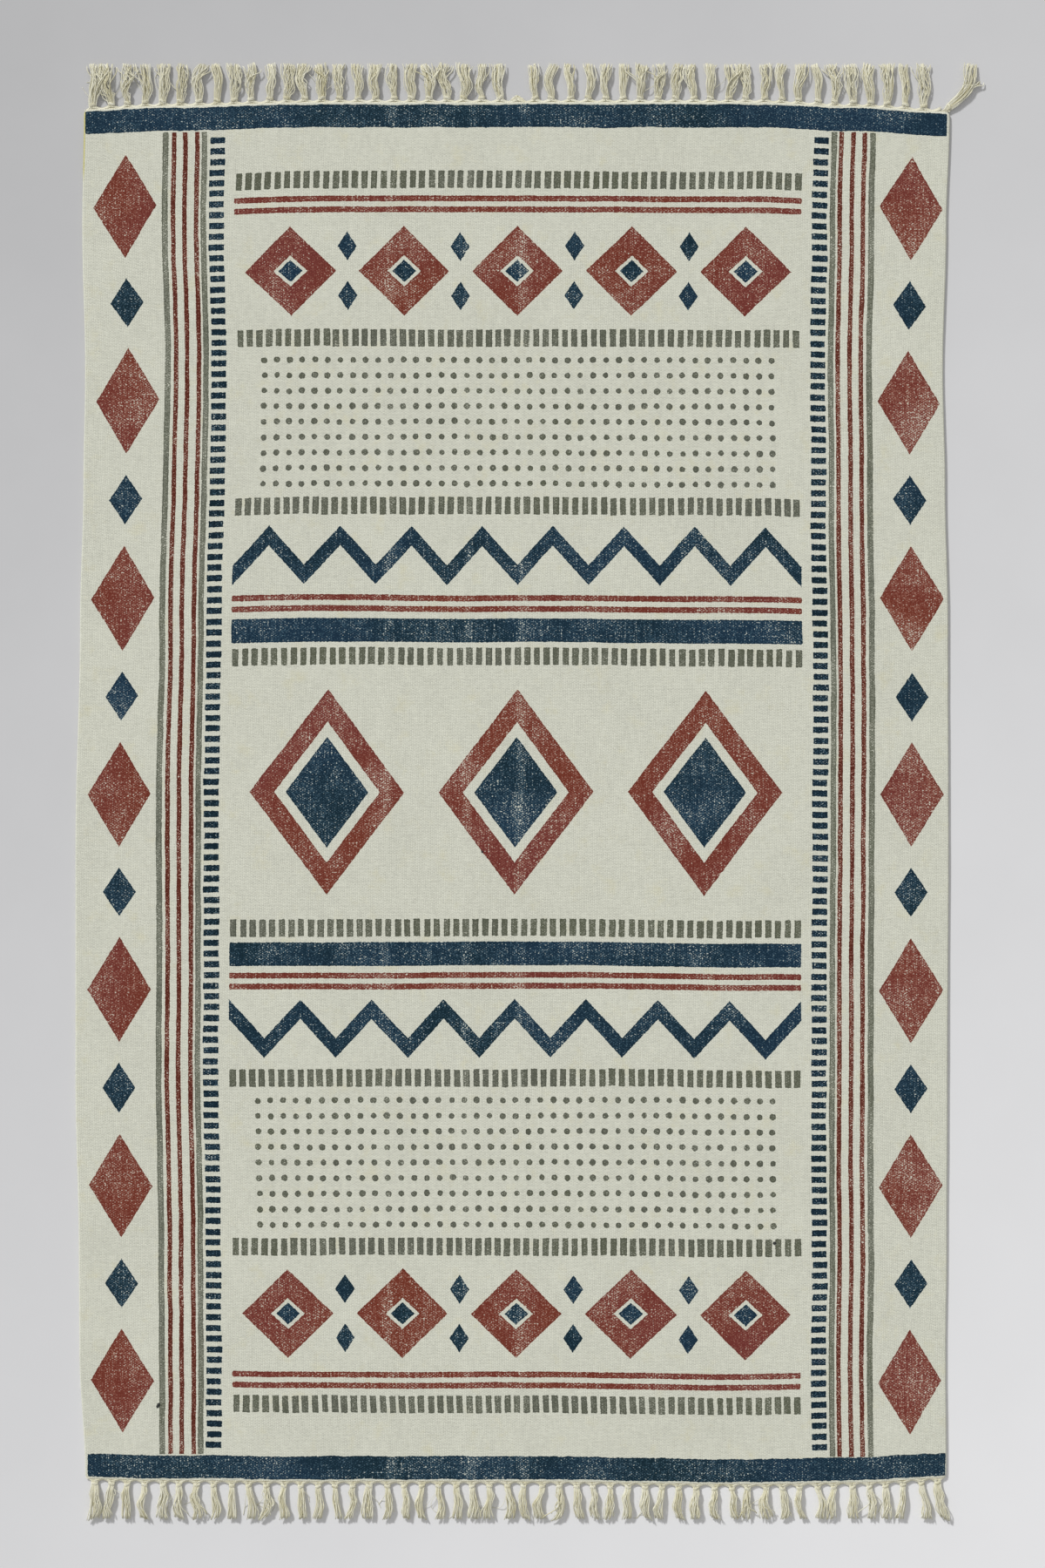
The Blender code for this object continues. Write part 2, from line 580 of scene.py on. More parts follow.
def weave_group():
    """A plain weave: round yarns that pass over and under each other in turn, each a little uneven."""
    tree, given, out = new_group(
        "Plain Weave",
        {
            "Place": ("NodeSocketVector", None),
            "Warp Pitch": ("NodeSocketFloat", 0.0034),
            "Weft Pitch": ("NodeSocketFloat", 0.0020),
        },
        {
            "Height": "NodeSocketFloat",
            "Raised": "NodeSocketFloat",
            "Crossing": "NodeSocketFloat",
            "Slub": "NodeSocketFloat",
        },
    )
    across, along, _ = split(given["Place"])
    wander, _ = clouds(given["Place"], 55.0, 1.0)
    ends = (across / given["Warp Pitch"]) + (wander - 0.5) * 1.2
    picks = (along / given["Weft Pitch"]) + (wander - 0.5) * 1.4
    end_wave = (ends * math.pi).math("SINE")
    pick_wave = (picks * math.pi).math("SINE")
    raised = end_wave * pick_wave
    warp_over = abs(end_wave) * 0.32 - end_wave.math("SIGN") * pick_wave * 0.62
    weft_over = abs(pick_wave) * 0.32 + pick_wave.math("SIGN") * end_wave * 0.62
    fibre, _ = clouds(given["Place"], 1400.0, 2.0)
    crossing, _ = dice(xyz(tree, ends.math("FLOOR"), picks.math("FLOOR"), 0.5))
    weft_slub, _ = clouds(xyz(tree, across * 45.0, picks * 0.45), 1.0, 1.0)
    warp_slub, _ = clouds(xyz(tree, ends * 0.45, along * 30.0, 5.0), 1.0, 1.0)
    slub = weft_slub * 0.5 + warp_slub * 0.5
    height = most(warp_over, weft_over) + (fibre - 0.5) * 0.5 + slub * 0.5 + crossing * 0.15
    give_out(tree, out, Height=height, Raised=raised, Crossing=crossing, Slub=slub)
    return tree


def bar(across, along, half_width, half_length, rounding=0.0040):
    """Distance outside a rectangle's edge, less than 0 inside it, as all the shapes here give."""
    return (abs(across) - half_width).math("SMOOTH_MAX", abs(along) - half_length, rounding)


def diamond(across, along, half_width, half_length):
    flatness = half_width * half_length / math.hypot(half_width, half_length)
    return (abs(across) / half_width + abs(along) / half_length - 1.0) * flatness


def nearest(value, pitch, most_cells):
    """The whole number of pitches nearest to a value, and no more than so many either way."""
    cell = (value / pitch).math("ROUND")
    return least(most(cell, -float(most_cells)), float(most_cells))


def shaken(tree, across_cell, along_cell, salt):
    """Small offsets for one impression of a block, from -0.5 to 0.5 each way."""
    _, channels = dice(xyz(tree, across_cell, along_cell, salt))
    first, second, third = split(channels)
    return first - 0.5, second - 0.5, third - 0.5


def dash_row(tree, across, from_row, salt):
    cell = nearest(across, DASH["pitch"], FIELD_HALF_WIDTH // DASH["pitch"])
    to_side, to_end, size = shaken(tree, cell, 0.0, salt)
    return bar(
        across - cell * DASH["pitch"] + to_side * 0.0012,
        from_row + to_end * 0.0016,
        DASH["width"] / 2 + size * 0.0008,
        DASH["depth"] / 2,
        rounding=0.0015,
    )


def ladder(tree, from_middle, along, side):
    cell = nearest(along, LADDER["pitch"], (CLOTH_LENGTH / 2 - LADDER["short_of_end"]) // LADDER["pitch"])
    to_side, to_end, size = shaken(tree, cell, side, 3.5)
    return bar(
        from_middle - LADDER["from_middle"] + to_side * 0.0016,
        along - cell * LADDER["pitch"] + to_end * 0.0012,
        LADDER["width"] / 2 + size * 0.0010,
        LADDER["rung"] / 2,
        rounding=0.0012,
    )


def dots(tree, across, along, half):
    column = nearest(across, DOT["across"], DOT["columns"])
    row = nearest(along, DOT["along"], DOT["rows"])
    to_side, to_end, size = shaken(tree, column + half * 50.0, row, 7.5)
    x = across - column * DOT["across"] + to_side * 0.0016
    y = along - row * DOT["along"] + to_end * 0.0016
    return (x * x + y * y).math("SQRT") - (DOT["radius"] + size * 0.0010)


def zigzag(across, along):
    slope = 4 * ZIGZAG["rise"] / ZIGZAG["pitch"]
    line = across.math("PINGPONG", ZIGZAG["pitch"] / 2) * slope - ZIGZAG["rise"]
    thickness = abs(along - line) * math.cos(math.atan(slope)) - ZIGZAG["stroke"] / 2
    return most(thickness, abs(across) - FIELD_HALF_WIDTH)


def medallions(across, along):
    """Three large diamonds across the middle: a brick ring, then an ivory one, round a navy heart."""
    x = across - nearest(across, MEDALLIONS["pitch"], 1) * MEDALLIONS["pitch"]
    outer = diamond(x, along, MEDALLIONS["half_width"], MEDALLIONS["half_length"])
    brick = most(outer, (outer + MEDALLIONS["ring"]) * -1.0)
    return brick, outer + MEDALLIONS["heart"]


def diamond_rows(across, along):
    """A row of brick diamonds across each half, with small navy ones between them and at their hearts."""
    from_row = along - DIAMOND_ROW["middle"]
    big_x = across - nearest(across, DIAMOND_ROW["pitch"], 2) * DIAMOND_ROW["pitch"]
    small_x = (across / DIAMOND_ROW["pitch"]).math("FLOOR") * DIAMOND_ROW["pitch"]
    small_x = across - small_x - DIAMOND_ROW["pitch"] / 2
    brick = diamond(big_x, from_row, DIAMOND_ROW["half_width"], DIAMOND_ROW["half_length"])
    half_width, half_length = SMALL_DIAMOND["half_width"], SMALL_DIAMOND["half_length"]
    heart = diamond(big_x, from_row, half_width, half_length * SMALL_DIAMOND_SHARES["heart_length"])
    upper = abs(from_row) - DIAMOND_ROW["half_length"] * SMALL_DIAMOND_SHARES["towards_points"]
    between = SMALL_DIAMOND_SHARES["between"]
    small = diamond(small_x, upper, half_width * between, half_length * between)
    small = most(small, abs(across) - 2 * DIAMOND_ROW["pitch"])
    return most(brick, (heart - SMALL_DIAMOND["rim"]) * -1.0), least(heart, small)


def side_diamonds(from_middle, along):
    """Brick diamonds down each side with a small navy one between each two."""
    x = from_middle - SIDE_DIAMONDS["from_middle"]
    pitch = SIDE_DIAMONDS["pitch"]
    brick = diamond(
        x,
        along - nearest(along, pitch, 3) * pitch,
        SIDE_DIAMONDS["half_width"],
        SIDE_DIAMONDS["half_length"],
    )
    between = nearest(abs(along) - pitch / 2, pitch, 2)
    navy = diamond(
        x,
        abs(along) - (between + 0.5) * pitch,
        SIDE_SMALL_DIAMOND["half_width"],
        SIDE_SMALL_DIAMOND["half_length"],
    )
    return brick, navy


def print_group():
    """The whole block print: how far each spot is outside each ink's nearest shape."""
    tree, given, out = new_group(
        "Block Print",
        {"Place": ("NodeSocketVector", None)},
        {
            "Navy": "NodeSocketFloat",
            "Brick": "NodeSocketFloat",
            "Grey": "NodeSocketFloat",
            "Rim": "NodeSocketFloat",
        },
    )
    across, along, _ = split(given["Place"])
    _, broad = clouds(given["Place"], 1.9, 1.0)
    _, fine = clouds(given["Place"], 14.0, 1.0)
    drift_x, drift_y, _ = split(broad)
    shift_x, shift_y, _ = split(fine)
    x = across + (drift_x - 0.5) * STRAYS["broad_across"] + (shift_x - 0.5) * STRAYS["fine"]
    y = along + (drift_y - 0.5) * STRAYS["broad_along"] + (shift_y - 0.5) * STRAYS["fine"]
    # The near left corner of the cloth is drawn in, but its stripes run on straight.
    near_left = eased_step(along, -1.00, -1.20) * eased_step(across, -0.20, -0.55)
    x = x + near_left * STRAYS["near_left"] - PRINT_MIDDLE
    side = x.math("SIGN")
    half = y.math("SIGN")
    out_x, out_y = abs(x), abs(y)

    shapes = {"navy": [], "brick": [], "grey": []}
    within_bands = out_y - (CLOTH_LENGTH / 2 - END_BAND["margin"] - END_BAND["depth"] - END_BAND["gap"])
    shapes["navy"].append(most(ladder(tree, out_x, y, side), within_bands))
    for stripe in SIDE_STRIPES:
        line = abs(out_x - stripe["from_middle"]) - stripe["width"] / 2
        shapes[stripe["ink"]].append(most(line, within_bands))
    for row in FIELD_BARS:
        shapes[row["ink"]].append(bar(x, out_y - row["middle"], FIELD_HALF_WIDTH, row["depth"] / 2))
    for number, middle in enumerate(DASH_ROWS):
        shapes["grey"].append(dash_row(tree, x, out_y - middle, number + 0.25))
    shapes["grey"].append(dots(tree, x, out_y - DOT["middle"], half))
    shapes["navy"].append(zigzag(x, out_y - ZIGZAG["middle"]))
    for brick, navy in (medallions(x, y), diamond_rows(x, out_y), side_diamonds(out_x, y)):
        shapes["brick"].append(brick)
        shapes["navy"].append(navy)

    # The bands follow the cloth's ends and selvedges more closely than the blocks do.
    pulled, _ = clouds(given["Place"], 48.0, 1.0)
    band_y = abs(along + (shift_y - 0.5) * STRAYS["band"]) + (pulled - 0.5) * STRAYS["band_edge"]
    band_middle = CLOTH_LENGTH / 2 - END_BAND["margin"] - END_BAND["depth"] / 2
    band = bar(
        across + (shift_x - 0.5) * STRAYS["band"] + half * STRAYS["band_aside"],
        band_y - band_middle,
        CLOTH_WIDTH / 2 - END_BAND["side_margin"],
        END_BAND["depth"] / 2,
    )
    shapes["navy"].append(band)

    distances = {ink.capitalize(): least(*drawn) for ink, drawn in shapes.items()}
    rim = eased_step(least(*distances.values()), *INK_RIM)
    give_out(tree, out, **distances, Rim=rim)
    return tree


def ink_group():
    """Ink on cotton: how much of it lies at a spot, from 0 on bare cloth to 1 where it is thickest.

    It has a ragged edge and a dark rim. It is thin in the sunk crossings, and worn in patches and streaks.
    """
    tree, given, out = new_group(
        "Ink on Cotton",
        {
            "Place": ("NodeSocketVector", None),
            "Distance": ("NodeSocketFloat", 0.0),
            "Rim": ("NodeSocketFloat", 0.0),
            "Raised": ("NodeSocketFloat", 0.0),
            "Crossing": ("NodeSocketFloat", 0.0),
            "Wear": ("NodeSocketFloat", 1.0),
            "Thinned": ("NodeSocketFloat", 0.0),
        },
        {"Amount": "NodeSocketFloat"},
    )
    across, along, _ = split(given["Place"])
    patch, _ = clouds(given["Place"], 10.0, 3.0, 0.62)
    blotch, _ = clouds(given["Place"], 95.0, 2.0, 0.6)
    fleck, _ = clouds(given["Place"], 330.0, 1.0)
    warp_streak, _ = clouds(xyz(tree, across * 240.0, along * 16.0), 1.0, 1.0)
    weft_streak, _ = clouds(xyz(tree, across * 18.0, along * 330.0, 4.0), 1.0, 1.0)
    ragged = (given["Crossing"] - 0.5) * 0.0008 + (warp_streak - 0.5) * 0.0018
    inside = eased_step(given["Distance"] + ragged, 0.0003, -0.0003)

    # Folds rub the ink off along narrow lines.
    rubbed = None
    for line in WORN_FOLDS:
        near = eased_step(abs(across - line + (patch - 0.5) * 0.010), 0.014, 0.002)
        rubbed = near if rubbed is None else most(rubbed, near)
    thin = (patch - 0.5) * 1.7 + (blotch - 0.5) * 1.0
    thin = thin + (warp_streak - 0.5) * 1.0 + (weft_streak - 0.5) * 0.6
    thin = (thin + rubbed * 0.35 - given["Rim"] * 0.22) * given["Wear"]
    fine = (fleck - 0.5) * given["Wear"]
    sunk = eased_step(given["Raised"], -0.35, -0.95)
    missed = sunk * least(most(given["Crossing"] * 0.6 + 0.26 + thin * 0.9 + fine * 1.6, 0.0), 0.84)
    bare = eased_step(fine + thin * 0.12, 0.06, 0.30) * 0.66
    amount = 0.98 - most(missed, bare) * given["Wear"] - thin * 0.38 - fine * 1.0 + given["Rim"] * 0.08
    amount = amount + (given["Crossing"] - 0.5) * 0.26 - given["Thinned"]
    give_out(tree, out, Amount=inside * within(amount))
    return tree


def yarn_group():
    """A plied yarn, from a map that runs round and along it: its twist's grooves and its loose fibres."""
    tree, given, out = new_group(
        "Yarn Twist",
        {
            "Map": ("NodeSocketVector", None),
            "Lay": ("NodeSocketFloat", 0.006),
            "Plies": ("NodeSocketFloat", 2.0),
        },
        {"Height": "NodeSocketFloat", "Groove": "NodeSocketFloat"},
    )
    turn, along, _ = split(given["Map"])
    twist = (turn + along / given["Lay"]) * given["Plies"]
    round_ply = abs((twist * math.pi).math("SINE"))
    fibre, _ = clouds(xyz(tree, twist * 5.0, along * 300.0), 1.0, 2.0)
    # This mask marks the twist's grooves, where shade is painted into the yarn's colour.
    groove_shade_mask = eased_step(round_ply, 0.45, 0.0)
    give_out(tree, out, Height=round_ply * 0.8 + fibre * 0.35, Groove=groove_shade_mask)
    return tree


def made_groups():
    """Each effect's node group, built once."""
    makers = {
        "Plain Weave": weave_group,
        "Block Print": print_group,
        "Ink on Cotton": ink_group,
        "Yarn Twist": yarn_group,
    }
    for name, make in makers.items():
        if name not in bpy.data.node_groups:
            make()
    return {name: bpy.data.node_groups[name] for name in makers}


# ---------------------------------------------------------------- materials

WEAVE_RELIEF = 0.00045
TWIST_RELIEF = 0.00035


def cotton_material(name):
    """A dull cotton with its shader's even values set. It returns the material, its tree and its shader."""
    material = bpy.data.materials.new(name)
    material.use_nodes = True
    shader = material.node_tree.nodes["Principled BSDF"]
    shader.inputs["Roughness"].default_value = 0.92
    shader.inputs["Specular IOR Level"].default_value = 0.12
    shader.inputs["Sheen Weight"].default_value = 0.03
    shader.inputs["Sheen Roughness"].default_value = 0.5
    return material, material.node_tree, shader


def add_bump(tree, shader, height, distance):
    bump = tree.nodes.new("ShaderNodeBump")
    bump.inputs["Distance"].default_value = distance
    bump.inputs["Strength"].default_value = 1.0
    feed(tree, bump.inputs["Height"], height)
    tree.links.new(bump.outputs["Normal"], shader.inputs["Normal"])


def mapped(tree, name):
    node = tree.nodes.new("ShaderNodeUVMap")
    node.uv_map = name
    return Value(tree, node.outputs["UV"])


def undyed(tree, settings, place, weave):
    """The bare cloth: ivory with painted shade, darker in the sunk crossings and lighter on the raised ones,
    mottled and faintly barred.
    """
    mottle, _ = clouds(place, 7.0, 3.0, 0.6)
    ivory = Vector(settings.ivory)
    # Painted shade: the raised crossings lean to the light ivory and the sunk ones to the dark, shaded
    # ivory; slub, crossing and mottle give the cotton's own uneven tone.
    light = opaque(ivory * 1.085)
    dark = opaque(ivory * 0.84)
    share = (
        0.62
        + weave["Raised"] * 0.34
        + (weave["Slub"] - 0.5) * 1.1
        + (weave["Crossing"] - 0.5) * 0.45
        + (mottle - 0.5) * 0.55
    )
    colour = blended(tree, within(share), dark, light)
    warm = opaque((ivory.x * 1.0, ivory.y * 0.955, ivory.z * 0.80))
    yellowing, _ = clouds(place, 22.0, 3.0, 0.7)
    return blended(tree, eased_step(yellowing, 0.52, 0.78) * 0.55, colour, warm)


def woven_cotton(name, settings):
    """A bare woven cotton. It returns the material, its shader, the place, the weave and the colour."""
    material, tree, shader = cotton_material(name)
    place = mapped(tree, "flat")
    weave = placed_group(
        tree,
        made_groups()["Plain Weave"],
        Place=place,
        Warp_Pitch=settings.warp_pitch,
        Weft_Pitch=settings.weft_pitch,
    )
    add_bump(tree, shader, weave["Height"], WEAVE_RELIEF)
    return material, shader, place, weave, undyed(tree, settings, place, weave)


def printed_cotton(settings):
    """The face of the cloth: plain weave with the block print on it."""
    groups = made_groups()
    material, shader, place, weave, colour = woven_cotton("printed_cotton", settings)
    tree = material.node_tree
    printed = placed_group(tree, groups["Block Print"], Place=place)
    across, along, _ = split(place)
    from_middle = abs(across - PRINT_MIDDLE)
    side_stripes = in_strip(from_middle, *STRIPED_STRIP)
    ladders = in_strip(from_middle, *LADDER_STRIP) * eased_step(abs(along), *LADDER_STRIP_END)
    right_side = eased_step(across, 0.40, 0.72) * 0.10 + 0.02
    drift, _ = clouds(place, 2.6, 3.0, 0.6)
    drift = eased_step(drift, 0.34, 0.66)
    inks = (
        {"ink": "Grey", "wear": 0.85, "thinned": side_stripes * 0.22 + 0.06, "deepened": 0.0, "body": 3.0},
        {"ink": "Brick", "wear": 1.1, "thinned": right_side, "deepened": side_stripes * 0.85, "body": 3.0},
        {"ink": "Navy", "wear": 1.1, "thinned": ladders * -0.10, "deepened": ladders * 0.55, "body": 5.0},
    )
    covered = None
    for row in inks:
        ink = row["ink"]
        laid = placed_group(
            tree,
            groups["Ink on Cotton"],
            Place=place,
            Distance=printed[ink],
            Rim=printed["Rim"],
            Raised=weave["Raised"],
            Crossing=weave["Crossing"],
            Wear=row["wear"],
            Thinned=row["thinned"],
        )
        amount = laid["Amount"]
        shades = ("", "other_", "thin_")
        full, other, thin = (getattr(settings, f"{shade}{ink.lower()}") for shade in shades)
        thick = blended(tree, drift, opaque(full), opaque(other))
        deep = least(printed["Rim"] * 0.35 + row["deepened"], 1.0)
        thick = blended(tree, deep, thick, opaque(Vector(full) * 0.55))
        colour = blended(tree, least(amount * row["body"], 1.0), colour, opaque(thin))
        colour = blended(tree, most(amount * 1.5 - 0.5, 0.0), colour, thick)
        covered = amount if covered is None else most(covered, amount)
    colour = stained(tree, place, colour)
    feed(tree, shader.inputs["Base Color"], colour)
    feed(tree, shader.inputs["Roughness"], 0.94 - covered * 0.10)
    return material


def stained(tree, place, colour):
    """A few small dark spots, and a yellow thread in the selvedge at the far left corner."""
    across, along, _ = split(place)
    wobble, _ = clouds(place, 420.0, 1.0)
    for spot in STAINS:
        x = (across - spot["across"]) / spot["half_width"]
        y = (along - spot["along"]) / spot["half_length"]
        reach = (x * x + y * y).math("SQRT") + (wobble - 0.5) * 0.5
        colour = blended(tree, eased_step(reach, 1.20, 0.80) * 0.95, colour, STAIN_COLOUR)
    yellow_edge = eased_step(across, *(-CLOTH_WIDTH / 2 + inset for inset in YELLOW_THREAD["across"]))
    yellow_run = eased_step(along, *(CLOTH_LENGTH / 2 - inset for inset in YELLOW_THREAD["along"]))
    return blended(tree, yellow_edge * yellow_run * 0.85, colour, YELLOW_THREAD["colour"])


def back_cotton(settings):
    """The underside: the bare weave, with the ink struck through as a faint shadow."""
    material, shader, place, weave, colour = woven_cotton("cloth_back", settings)
    tree = material.node_tree
    printed = placed_group(tree, made_groups()["Block Print"], Place=place)
    for ink, tint in (("Grey", settings.grey), ("Brick", settings.brick), ("Navy", settings.navy)):
        through = eased_step(printed[ink], 0.0010, -0.0010) * eased_step(weave["Crossing"], 0.35, 1.0)
        colour = blended(tree, through * 0.34, colour, opaque(tint))
    feed(tree, shader.inputs["Base Color"], colour)
    return material


def fringe_cotton(settings, name, lay):
    """Soft plied cotton yarn, some yarns creamier and some yellower, with painted shade darker down in the
    twist.
    """
    groups = made_groups()
    material, tree, shader = cotton_material(name)
    twist = placed_group(tree, groups["Yarn Twist"], Map=mapped(tree, "yarn"), Lay=lay, Plies=2.0)
    tone_node = tree.nodes.new("ShaderNodeAttribute")
    tone_node.attribute_name = "tone"
    tone = Value(tree, tone_node.outputs["Fac"])
    where = tree.nodes.new("ShaderNodeTexCoord")
    patches, _ = clouds(Value(tree, where.outputs["Object"]), 90.0, 2.0)
    cream, beige = Vector(settings.cream), Vector(settings.beige)
    share = within(tone + (patches - 0.5) * 0.5)
    colour = blended(tree, share, opaque(cream), opaque(beige))
    # Painted shade: down in the twist's grooves the colour darkens towards a deep beige.
    colour = blended(tree, twist["Groove"] * 0.22, colour, opaque(beige * 0.62))
    feed(tree, shader.inputs["Base Color"], colour)
    add_bump(tree, shader, twist["Height"], TWIST_RELIEF)
    return material


# ---------------------------------------------------------------- the cloth


def lines(half, step, rim):
    """Where the mesh's lines lie from edge to edge: even inside, and close together at the rounded rim."""
    inner = half - rim[-1]
    count = max(2, round(2 * inner / step))
    middle = [-inner + 2 * inner * k / count for k in range(count + 1)]
    return [-half + inset for inset in rim[:-1]] + middle + [half - inset for inset in reversed(rim[:-1])]


def in_rounded_corner(across, along):
    """The spot moved inwards where it lies in the square that a rounded corner cuts."""
    r = CORNER_RADIUS
    a = abs(across) - (CLOTH_WIDTH / 2 - r)
    b = abs(along) - (CLOTH_LENGTH / 2 - r)
    if a <= 0 or b <= 0:
        return across, along
    share = max(a, b) / math.hypot(a, b)
    x = CLOTH_WIDTH / 2 - r + a * share
    y = CLOTH_LENGTH / 2 - r + b * share
    return math.copysign(x, across), math.copysign(y, along)


def off_the_floor(x, y, waviness):
    """How far the underside stands off the floor: broad swells, small puckers and the old folds."""
    broad = noise.noise(Vector((x * 2.6, y * 1.7, 3.1)))
    pucker = noise.noise(Vector((x * 9.0, y * 6.0, 8.4)))
    cockle = noise.noise(Vector((x * 26.0, y * 17.0, 1.7)))
    fold = sum(math.exp(-(((x - line) / 0.012) ** 2)) for line in WORN_FOLDS)
    height = waviness * (1.0 + broad + 0.55 * pucker + 0.22 * cockle) + 0.0004 * fold
    return max(height, 0.0)


def cloth_mesh(settings):
    """A closed sheet: one grid over another, sharing the line round the rim."""
    rim = (0.0, 0.0004, 0.0012, 0.0024, 0.0060)
    rise = (0.0, 0.62, 0.93, 1.0)
    xs = lines(CLOTH_WIDTH / 2, settings.grid, rim)
    ys = lines(CLOTH_LENGTH / 2, settings.grid, rim)
    points, flats, number = [], [], {}
    for side in (1, -1):
        for i, across in enumerate(xs):
            for j, along in enumerate(ys):
                step_in = min(i, j, len(xs) - 1 - i, len(ys) - 1 - j)
                if step_in == 0 and side < 0:
                    number[side, i, j] = number[1, i, j]
                    continue
                flat_x, flat_y = in_rounded_corner(across, along)
                x, y = on_the_floor(flat_x, flat_y)
                share = rise[min(step_in, len(rise) - 1)]
                z = off_the_floor(x, y, settings.waviness) + CLOTH_THICKNESS / 2 * (1 + side * share)
                number[side, i, j] = len(points)
                points.append((x, y, z))
                flats.append((flat_x, flat_y))
    faces, backs = [], []
    for side in (1, -1):
        for i in range(len(xs) - 1):
            for j in range(len(ys) - 1):
                corners = ((i, j), (i + 1, j), (i + 1, j + 1), (i, j + 1))
                loop = [number[side, *corner] for corner in corners]
                faces.append(loop if side > 0 else loop[::-1])
                backs.append(side < 0)
    mesh = bpy.data.meshes.new("dhurrie_cloth")
    mesh.from_pydata(points, [], faces)
    layer = mesh.uv_layers.new(name="flat")
    loop_points = [0] * len(mesh.loops)
    mesh.loops.foreach_get("vertex_index", loop_points)
    layer.data.foreach_set("uv", [measure for point in loop_points for measure in flats[point]])
    mesh.polygons.foreach_set("material_index", [int(back) for back in backs])
    mesh.shade_smooth()
    return mesh


# ---------------------------------------------------------------- yarns


class YarnMesh:
    """Gathers many yarns, and makes one mesh of them."""

    def __init__(self):
        self.points = []
        self.faces = []
        self.around_and_along = []
        self.tones = []

    def add(self, path, radii, tone, sides=6, closed=False):
        """One yarn along a path. A closed one is a loop, and an open one has a flat cut at each end."""
        count = len(path)
        tangents = []
        for k in range(count):
            before = path[k - 1] if k or closed else path[0]
            after = path[(k + 1) % count] if k < count - 1 or closed else path[-1]
            tangents.append((after - before).normalized())
        up = Vector((0, 0, 1))
        if abs(tangents[0].dot(up)) > 0.9:
            up = Vector((1, 0, 0))
        side = tangents[0].cross(up).normalized()
        first = len(self.points)
        travelled = 0.0
        distances = []
        for k in range(count):
            if k:
                turn = tangents[k - 1].rotation_difference(tangents[k])
                side = (turn @ side).normalized()
                travelled += (path[k] - path[k - 1]).length
            distances.append(travelled)
            other = tangents[k].cross(side)
            for s in range(sides):
                angle = 2 * math.pi * s / sides
                spoke = side * math.cos(angle) + other * math.sin(angle)
                spot = path[k] + spoke * radii[k]
                spot.z = max(spot.z, 0.0)
                self.points.append(spot)
                self.tones.append(tone)
        rings = count if closed else count - 1
        offset = tone * 0.37
        for k in range(rings):
            here, there = first + k * sides, first + (k + 1) % count * sides
            low = distances[k] + offset
            high = low + (path[(k + 1) % count] - path[k]).length
            for s in range(sides):
                t = (s + 1) % sides
                self.faces.append((here + s, here + t, there + t, there + s))
                self.around_and_along += [
                    (s / sides, low),
                    ((s + 1) / sides, low),
                    ((s + 1) / sides, high),
                    (s / sides, high),
                ]
        if not closed:
            last = first + (count - 1) * sides
            self.faces.append(tuple(first + s for s in reversed(range(sides))))
            self.faces.append(tuple(last + s for s in range(sides)))
            self.around_and_along += [(s / sides, offset) for s in reversed(range(sides))]
            self.around_and_along += [(s / sides, travelled + offset) for s in range(sides)]

    def made(self, name, material):
        mesh = bpy.data.meshes.new(name)
        mesh.from_pydata(self.points, [], self.faces)
        layer = mesh.uv_layers.new(name="yarn")
        layer.data.foreach_set("uv", [number for pair in self.around_and_along for number in pair])
        attribute = mesh.attributes.new("tone", "FLOAT", "POINT")
        attribute.data.foreach_set("value", self.tones)
        mesh.shade_smooth()
        mesh.materials.append(material)
        piece = bpy.data.objects.new(name, mesh)
        bpy.context.scene.collection.objects.link(piece)
        return piece


KNOT_HEIGHT = 0.0034
# A bunch beyond its knot: how wide and high its yarns' middles spread, at shares of the way to the tips.
BODY = (
    {"share": 0.00, "half_width": 0.0042, "half_height": 0.0016},
    {"share": 0.10, "half_width": 0.0049, "half_height": 0.0017},
    {"share": 0.40, "half_width": 0.0065, "half_height": 0.0016},
    {"share": 0.75, "half_width": 0.0073, "half_height": 0.0014},
    {"share": 1.00, "half_width": 0.0074, "half_height": 0.0013},
)
FAN_STEPS = 4
BODY_STEPS = 10
WEB_ARCS = 5
WEB_STEPS = 8
# The power that the arcs of the web follow: 1 would hang them in a V, and 2 in a parabola.
WEB_CURVE = 1.5
# The yarns that come in from this far to the side run along the cloth's edge before they turn into the knot.
FAN_REACH = 0.0155
KNOT_WRAPS = 3
KNOT_SPACING = 0.0024
WRAP_STEPS = 10
# The bunch that has parted in two: how far its knot has slid, how far its middle leans back and by what
# share of the way, how much it curls, how far one yarn in four swings aside, and the share it falls short.
PARTED = {"slid": 0.0150, "lean": -0.0135, "leant_by": 0.72, "curl": 0.0020, "aside": 0.016, "short": 0.42}
# The bunch that is pulled out: a low mound of yarns that narrows from its foot to its crest.
MOUND = {"crest": 0.0150, "foot": 0.0190, "narrowing": 0.0110, "steps": 5}
HEADER_CORD = {"radius": 0.0014, "lay": 0.0085, "tone": 0.12, "steps": 240, "inset": CORNER_RADIUS * 0.6}
FRINGE_LAY = 0.0052


def smooth(share):
    share = min(max(share, 0.0), 1.0)
    return share * share * (3 - 2 * share)


def fan_path(end, root_x, knot_x, height, spread, waviness):
    """A yarn from the cloth's edge into the knot. The outer ones run along the edge before they turn in."""
    facts = ENDS[end]
    sideways = min(abs(root_x - knot_x) / FAN_REACH, 1.0)
    path = []
    for k in range(FAN_STEPS):
        share = k / FAN_STEPS
        x = root_x + (knot_x + spread - root_x) * share
        outward = share ** (1.0 + 0.7 * sideways)
        edge = end_y(end, x)
        y = edge + facts["sign"] * (-0.0010 + (facts["knot_reach"] - 0.0010) * outward)
        root_z = off_the_floor(root_x, edge, waviness) + CLOTH_THICKNESS / 2
        path.append(Vector((x, y, root_z + (height - root_z) * smooth(share))))
    return path


